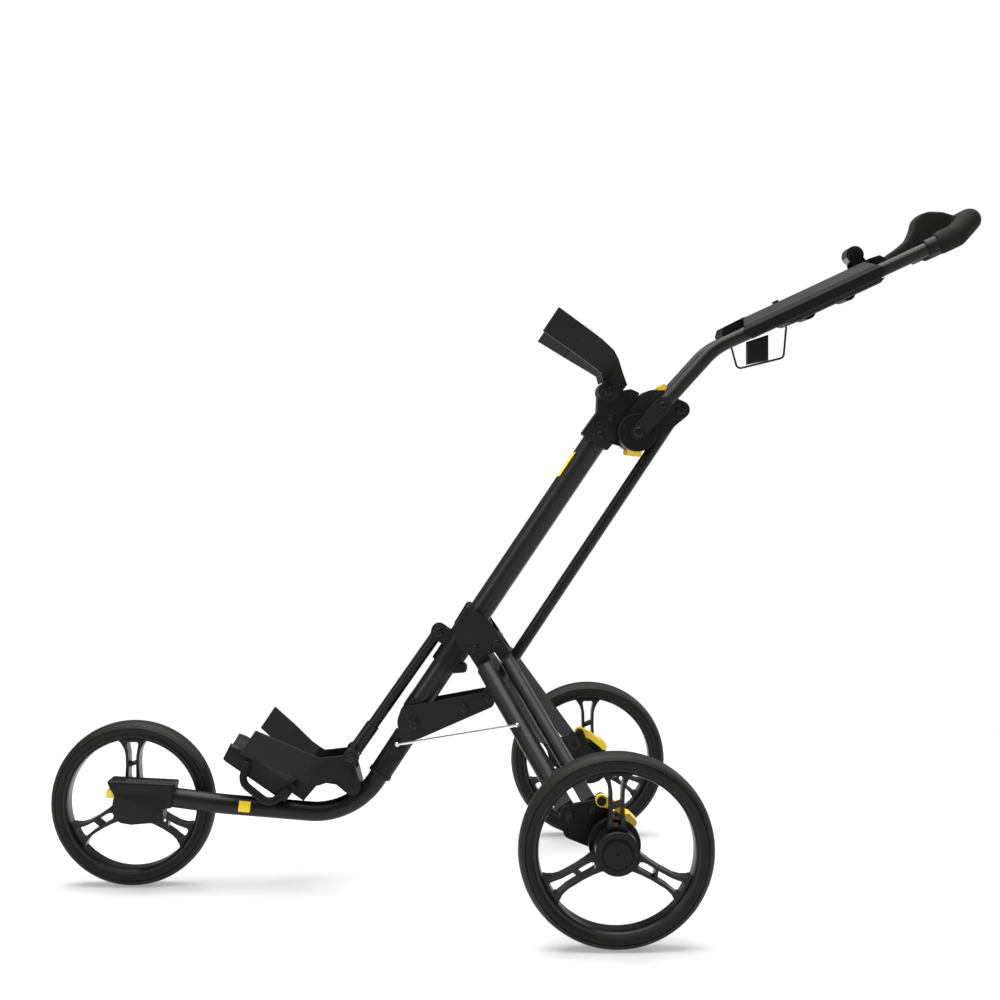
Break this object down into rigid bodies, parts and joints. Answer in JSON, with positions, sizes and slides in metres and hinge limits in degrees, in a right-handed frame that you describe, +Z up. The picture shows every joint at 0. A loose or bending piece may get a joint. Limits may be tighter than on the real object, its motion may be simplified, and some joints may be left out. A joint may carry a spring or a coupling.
{
  "type": "golf push trolley",
  "caption": "Folding golf push trolley: slanted backbone tube with a sliding leg runner, side legs to the rear wheels, a front wheel on a cranked tube, bag cradles and a handle with a console.",
  "frame": {"origin": "middle of the trolley's length and width, on the ground under the wheels", "axes": "+Z up, -Y forward towards the front wheel, +Y back towards the handle, +X to the trolley's own left when facing forward"},
  "size_m": [0.6336, 1.363, 0.994],
  "materials": {
    "tyre": "matte, fine moulded tread",
    "rim_plastic": "satin black moulding",
    "cap_plastic": "satin",
    "frame_paint": "satin black powder coat",
    "tube_paint": "satin charcoal powder coat",
    "bracket_alloy": "black painted die-casting",
    "black_steel": "blackened",
    "bright_steel": "bright plated",
    "moulded_plastic": "fine textured moulding",
    "gloss_plastic": "gloss",
    "yellow_plastic": "satin yellow",
    "foam": "closed-cell foam",
    "soft_rubber": "matte",
    "wire_black": "satin black"
  },
  "bodies": {
    "backbone": {"main_tube": "frame_paint", "main_tube_foot": "bracket_alloy", "upper_bracket": "bracket_alloy", "bracket_pins": "black_steel"},
    "runner": {"runner_collar": "bracket_alloy", "runner_plate_left": "bracket_alloy", "runner_plate_right": "bracket_alloy", "runner_bolts": "black_steel"},
    "front_frame": {"front_tube": "tube_paint", "front_knuckle": "bracket_alloy", "lever_plate_left": "bracket_alloy", "lever_plate_right": "bracket_alloy", "front_frame_bolts": "black_steel", "fork_housing": "moulded_plastic", "front_axle": "bright_steel", "lower_cradle_base": "moulded_plastic", "lower_cradle_arm_left": "moulded_plastic", "lower_cradle_arm_right": "moulded_plastic", "bag_strap_loops": "soft_rubber"},
    "front_wheel": {"front_tyre": "tyre", "front_rim": "rim_plastic", "front_hub_cap": "cap_plastic"},
    "left_wheel": {"left_tyre": "tyre", "left_rim": "rim_plastic", "left_hub_cap": "cap_plastic"},
    "right_wheel": {"right_tyre": "tyre", "right_rim": "rim_plastic", "right_hub_cap": "cap_plastic"},
    "front_release": {"wheel_release": "yellow_plastic"},
    "brace": {"brace_tube": "tube_paint"},
    "rear_strut": {"strut": "tube_paint"},
    "handle": {"hinge_rotor": "bracket_alloy", "handle_bolts": "black_steel", "hinge_disc_left": "bracket_alloy", "hinge_disc_right": "bracket_alloy", "handle_tube_left": "tube_paint", "handle_tube_right": "tube_paint", "console_tray": "moulded_plastic", "console_cover": "moulded_plastic", "wire_holder": "wire_black", "grip": "foam", "grip_cuffs": "moulded_plastic"},
    "button": {"clip_button": "gloss_plastic"},
    "knob": {"accessory_knob": "gloss_plastic"},
    "lock_lever": {"hinge_lock": "yellow_plastic"},
    "bag_cradle": {"upper_cradle_arm_left": "moulded_plastic", "upper_cradle_arm_right": "moulded_plastic", "upper_cradle_pads": "soft_rubber"},
    "front_leg_left": {"leg_front_left": "tube_paint"},
    "rear_leg_left": {"leg_rear_left": "tube_paint"},
    "hub_carrier_left": {"hub_plate_left": "bracket_alloy", "axle_left": "bright_steel"},
    "rod_left": {"tie_rod_left": "bright_steel"},
    "brake_left": {"brake_lever_left": "yellow_plastic"},
    "front_leg_right": {"leg_front_right": "tube_paint"},
    "rear_leg_right": {"leg_rear_right": "tube_paint"},
    "hub_carrier_right": {"hub_plate_right": "bracket_alloy", "axle_right": "bright_steel"},
    "rod_right": {"tie_rod_right": "bright_steel"},
    "brake_right": {"brake_lever_right": "yellow_plastic"}
  },
  "joints": [
    {"name": "handle_fold", "type": "hinge", "parent": "backbone", "child": "handle", "pos_m": [0, 0.1785, 0.667], "axis": [-1, 0, 0], "range_deg": [0, 110]},
    {"name": "strut_swing", "type": "hinge", "parent": "handle", "child": "rear_strut", "pos_m": [0, 0.2435, 0.7], "axis": [-1, 0, 0], "range_deg": [-118, 0]},
    {"name": "front_frame_fold", "type": "hinge", "parent": "backbone", "child": "front_frame", "pos_m": [0, -0.1465, 0.241], "axis": [-1, 0, 0], "range_deg": [0, 68]},
    {"name": "runner_slide", "type": "slide", "parent": "backbone", "child": "runner", "axis": [0, 0.558, 0.8299], "range_m": [0, 0.095]},
    {"name": "brace_swing", "type": "hinge", "parent": "runner", "child": "brace", "pos_m": [0, -0.1105, 0.3735], "axis": [-1, 0, 0], "range_deg": [0, 16]},
    {"name": "front_leg_swing_left", "type": "hinge", "parent": "runner", "child": "front_leg_left", "pos_m": [0.03, -0.0574, 0.3525], "axis": [-1, 0, 0], "range_deg": [0, 40]},
    {"name": "rear_leg_swing_left", "type": "hinge", "parent": "runner", "child": "rear_leg_left", "pos_m": [0.03, -0.0254, 0.3606], "axis": [-1, 0, 0], "range_deg": [0, 40]},
    {"name": "hub_carrier_turn_left", "type": "hinge", "parent": "front_leg_left", "child": "hub_carrier_left", "pos_m": [0.218, 0.07, 0.1575], "axis": [-1, 0, 0], "range_deg": [-40, 0]},
    {"name": "rod_swing_left", "type": "hinge", "parent": "front_leg_left", "child": "rod_left", "pos_m": [0.1456, 0.0022, 0.2612], "axis": [-1, 0, 0], "range_deg": [-45, 0]},
    {"name": "wheel_spin_left", "type": "hinge", "parent": "hub_carrier_left", "child": "left_wheel", "pos_m": [0.29, 0.1275, 0.127], "axis": [1, 0, 0], "continuous": true},
    {"name": "brake_lever_turn_left", "type": "hinge", "parent": "hub_carrier_left", "child": "brake_left", "pos_m": [0.244, 0.1115, 0.18], "axis": [1, 0, 0], "range_deg": [0, 25]},
    {"name": "front_leg_swing_right", "type": "hinge", "parent": "runner", "child": "front_leg_right", "pos_m": [-0.03, -0.0574, 0.3525], "axis": [-1, 0, 0], "range_deg": [0, 40]},
    {"name": "rear_leg_swing_right", "type": "hinge", "parent": "runner", "child": "rear_leg_right", "pos_m": [-0.03, -0.0254, 0.3606], "axis": [-1, 0, 0], "range_deg": [0, 40]},
    {"name": "hub_carrier_turn_right", "type": "hinge", "parent": "front_leg_right", "child": "hub_carrier_right", "pos_m": [-0.218, 0.07, 0.1575], "axis": [-1, 0, 0], "range_deg": [-40, 0]},
    {"name": "rod_swing_right", "type": "hinge", "parent": "front_leg_right", "child": "rod_right", "pos_m": [-0.1456, 0.0022, 0.2612], "axis": [-1, 0, 0], "range_deg": [-45, 0]},
    {"name": "wheel_spin_right", "type": "hinge", "parent": "hub_carrier_right", "child": "right_wheel", "pos_m": [-0.29, 0.1275, 0.127], "axis": [1, 0, 0], "continuous": true},
    {"name": "brake_lever_turn_right", "type": "hinge", "parent": "hub_carrier_right", "child": "brake_right", "pos_m": [-0.244, 0.1115, 0.18], "axis": [1, 0, 0], "range_deg": [0, 25]},
    {"name": "front_wheel_spin", "type": "hinge", "parent": "front_frame", "child": "front_wheel", "pos_m": [0, -0.5605, 0.121], "axis": [1, 0, 0], "continuous": true},
    {"name": "wheel_release_slide", "type": "slide", "parent": "front_frame", "child": "front_release", "axis": [0, 1, 0], "range_m": [0, 0.0015], "stiffness_N_per_m": 900},
    {"name": "upper_cradle_fold", "type": "hinge", "parent": "backbone", "child": "bag_cradle", "pos_m": [0, 0.1375, 0.726], "axis": [1, 0, 0], "range_deg": [0, 100]},
    {"name": "hinge_lock_turn", "type": "hinge", "parent": "handle", "child": "lock_lever", "pos_m": [0, 0.1785, 0.667], "axis": [1, 0, 0], "range_deg": [0, 12], "stiffness_Nm_per_rad": 0.3},
    {"name": "clip_button_press", "type": "slide", "parent": "handle", "child": "button", "axis": [0, 0.4233, -0.906], "range_m": [0, 0.002], "stiffness_N_per_m": 400},
    {"name": "knob_turn", "type": "hinge", "parent": "handle", "child": "knob", "pos_m": [0, 0.50049, 0.92774], "axis": [1, 0, 0], "range_deg": [-170, 170]}
  ],
  "couplings": [
    {"joint": "strut_swing", "follows": "handle_fold", "ratio": -1.033},
    {"joint": "front_frame_fold", "follows": "handle_fold", "ratio": 0.594},
    {"joint": "runner_slide", "follows": "handle_fold", "m_per_rad": 0.0464},
    {"joint": "brace_swing", "follows": "handle_fold", "ratio": 0.129},
    {"joint": "front_leg_swing_left", "follows": "handle_fold", "ratio": 0.337},
    {"joint": "rear_leg_swing_left", "follows": "handle_fold", "ratio": 0.337},
    {"joint": "hub_carrier_turn_left", "follows": "handle_fold", "ratio": -0.337},
    {"joint": "rod_swing_left", "follows": "handle_fold", "ratio": -0.385},
    {"joint": "front_leg_swing_right", "follows": "handle_fold", "ratio": 0.337},
    {"joint": "rear_leg_swing_right", "follows": "handle_fold", "ratio": 0.337},
    {"joint": "hub_carrier_turn_right", "follows": "handle_fold", "ratio": -0.337},
    {"joint": "rod_swing_right", "follows": "handle_fold", "ratio": -0.385}
  ]
}
